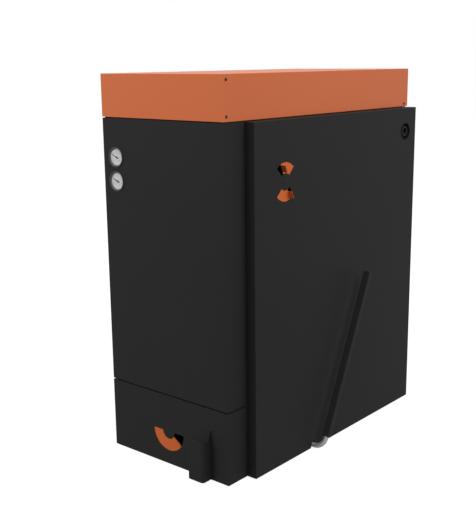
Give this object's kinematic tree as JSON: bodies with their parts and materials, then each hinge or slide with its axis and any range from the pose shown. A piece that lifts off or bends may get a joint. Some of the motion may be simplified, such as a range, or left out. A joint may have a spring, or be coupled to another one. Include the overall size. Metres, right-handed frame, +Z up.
{
  "type": "coal boiler",
  "caption": "Top-loading solid-fuel boiler in a black and orange sheet casing, with lifting cover, ash door, air inlets, gauges and a grate lever.",
  "frame": {"origin": "on the floor, midway under the casing", "axes": "+X to the right seen from the front, -Y out of the front, +Z up"},
  "size_m": [0.612, 1.0895, 1.2],
  "materials": {
    "black_coat": "satin",
    "orange_coat": "satin",
    "black_grip": "satin",
    "boiler_steel": "matte",
    "zinc_steel": "satin",
    "grate_iron": "matte",
    "chamotte": "matte",
    "wool": "matte",
    "seal_rope": "matte",
    "gauge_case": "satin",
    "gauge_white": "matte",
    "gauge_glass": "gloss",
    "needle_black": "matte",
    "buffer_rubber": "matte"
  },
  "bodies": {
    "casing": {"outer_shell": "boiler_steel", "firebox": "boiler_steel", "water_walls": "boiler_steel", "bottom_plate": "boiler_steel", "top_plate": "boiler_steel", "ash_pit": "boiler_steel", "grate_frame": "grate_iron", "fire_guard": "grate_iron", "chamotte_plates": "chamotte", "fuel_hatch_frame": "boiler_steel", "cleaning_frame": "boiler_steel", "cleaning_cover": "boiler_steel", "cleaning_seal": "seal_rope", "cleaning_fasteners": "zinc_steel", "flue_spigot": "boiler_steel", "main_sockets": "boiler_steel", "drain_socket": "boiler_steel", "side_socket": "boiler_steel", "side_air_duct": "boiler_steel", "base_rails": "boiler_steel", "shaft_bearings": "zinc_steel", "pan_runners": "boiler_steel", "door_brackets": "boiler_steel", "side_panel_left": "black_coat", "side_panel_right": "black_coat", "rear_panel": "black_coat", "front_panel": "black_coat", "casing_insulation": "wool", "top_deck": "black_coat", "cover_buffers": "buffer_rubber", "socket_boot": "buffer_rubber", "cover_hinges_fixed": "zinc_steel", "hinge_pins": "zinc_steel", "door_catch": "zinc_steel", "casing_screws": "zinc_steel", "gauge_cases": "gauge_case", "gauge_dials": "gauge_white", "gauge_glasses": "gauge_glass"},
    "cover": {"top_cover": "orange_coat", "cover_insulation": "wool", "cover_hinges_moving": "zinc_steel", "cover_screws": "zinc_steel"},
    "hatch": {"fuel_hatch_door": "boiler_steel", "fuel_hatch_seal": "seal_rope", "fuel_hatch_plug": "chamotte", "fuel_hatch_handle": "zinc_steel"},
    "ash_door": {"door_skin": "black_coat", "door_inner_plate": "boiler_steel", "door_insulation": "wool", "door_seal": "seal_rope", "door_handle": "black_coat"},
    "pan": {"ash_pan": "boiler_steel"},
    "front_air_plate": {"front_air_disc": "orange_coat"},
    "side_air_plate": {"side_air_disc": "orange_coat"},
    "lever": {"grate_shaft": "zinc_steel", "lever_bar": "black_grip"},
    "rake": {"grate_rake": "grate_iron"},
    "thermometer_pointer": {"thermometer_needle": "needle_black"},
    "pressure_pointer": {"pressure_needle": "needle_black"}
  },
  "joints": [
    {"name": "cover_hinge", "type": "hinge", "parent": "casing", "child": "cover", "pos_m": [0, 0.494, 1.0705], "axis": [-1, 0, 0], "range_deg": [0, 75]},
    {"name": "hatch_hinge", "type": "hinge", "parent": "casing", "child": "hatch", "pos_m": [0, -0.006, 1.098], "axis": [-1, 0, 0], "range_deg": [0, 64]},
    {"name": "ash_door_hinge", "type": "hinge", "parent": "casing", "child": "ash_door", "pos_m": [-0.2375, -0.425, 0.1], "axis": [0, 0, -1], "range_deg": [0, 100]},
    {"name": "ash_pan_slide", "type": "slide", "parent": "casing", "child": "pan", "axis": [0, -1, 0], "range_m": [0, 0.175]},
    {"name": "front_air_disc", "type": "hinge", "parent": "ash_door", "child": "front_air_plate", "pos_m": [0, -0.4875, 0.1135], "axis": [0, -1, 0], "range_deg": [-141, 33]},
    {"name": "side_air_disc", "type": "hinge", "parent": "casing", "child": "side_air_plate", "pos_m": [0.2775, -0.26, 0.889], "axis": [1, 0, 0], "range_deg": [-64, 20]},
    {"name": "grate_lever", "type": "hinge", "parent": "casing", "child": "lever", "pos_m": [0, -0.109, 0.014], "axis": [1, 0, 0], "range_deg": [0, 24]},
    {"name": "grate_rake_slide", "type": "slide", "parent": "casing", "child": "rake", "axis": [0, -1, 0], "range_m": [0, 0.0328]},
    {"name": "thermometer_needle", "type": "hinge", "parent": "casing", "child": "thermometer_pointer", "pos_m": [-0.19, -0.4882, 0.952], "axis": [0, -1, 0], "range_deg": [-203, 67]},
    {"name": "pressure_needle", "type": "hinge", "parent": "casing", "child": "pressure_pointer", "pos_m": [-0.19, -0.4882, 0.879], "axis": [0, -1, 0], "range_deg": [-203, 67]}
  ],
  "couplings": [
    {"joint": "hatch_hinge", "follows": "cover_hinge", "ratio": 0.8},
    {"joint": "ash_pan_slide", "follows": "ash_door_hinge", "m_per_rad": 0.1},
    {"joint": "grate_rake_slide", "follows": "grate_lever", "m_per_rad": 0.078}
  ]
}
